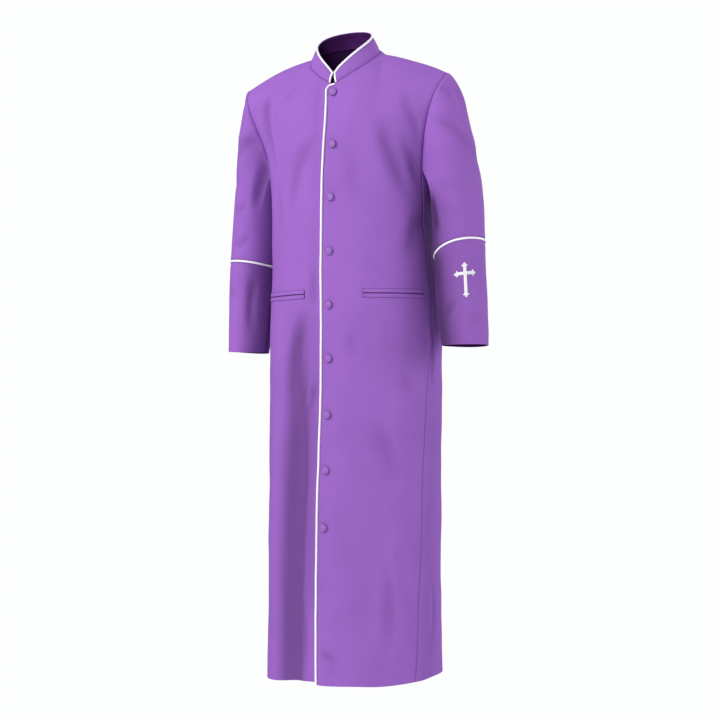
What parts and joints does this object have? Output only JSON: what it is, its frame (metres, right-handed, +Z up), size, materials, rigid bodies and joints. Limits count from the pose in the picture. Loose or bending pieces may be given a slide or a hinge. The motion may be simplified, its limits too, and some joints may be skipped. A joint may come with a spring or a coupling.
{
  "type": "priest robe",
  "caption": "Full-length clergy robe with a stand collar, a piped and buttoned front, slit pockets and deep piped cuffs, held hollow as worn",
  "frame": {"origin": "midway between the two side neck points, where the wearer's shoulders carry the robe", "axes": "+Z up along the wearer, -Y the way the wearer faces, +X the wearer's left"},
  "size_m": [0.6612, 0.3182, 1.4958],
  "materials": {
    "purple_cloth": "smooth matt suiting with a faint sheen",
    "covered_button": "the robe's own cloth drawn over a button",
    "white_piping": "white satin piping",
    "white_embroidery": "white satin-stitch thread"
  },
  "bodies": {
    "root": {"front_left": "purple_cloth", "front_right": "purple_cloth", "side_left": "purple_cloth", "side_right": "purple_cloth", "back": "purple_cloth", "sleeve_left": "purple_cloth", "sleeve_right": "purple_cloth", "cuff_left": "purple_cloth", "cuff_right": "purple_cloth", "collar": "purple_cloth", "pocket_left_upper_welt": "purple_cloth", "pocket_left_lower_welt": "purple_cloth", "pocket_right_upper_welt": "purple_cloth", "pocket_right_lower_welt": "purple_cloth", "front_piping": "white_piping", "collar_piping": "white_piping", "sleeve_piping_left": "white_piping", "sleeve_piping_right": "white_piping", "sleeve_cross": "white_embroidery", "button_1": "covered_button", "button_2": "covered_button", "button_3": "covered_button", "button_4": "covered_button", "button_5": "covered_button", "button_6": "covered_button", "button_7": "covered_button", "button_8": "covered_button", "button_9": "covered_button"}
  },
  "joints": []
}
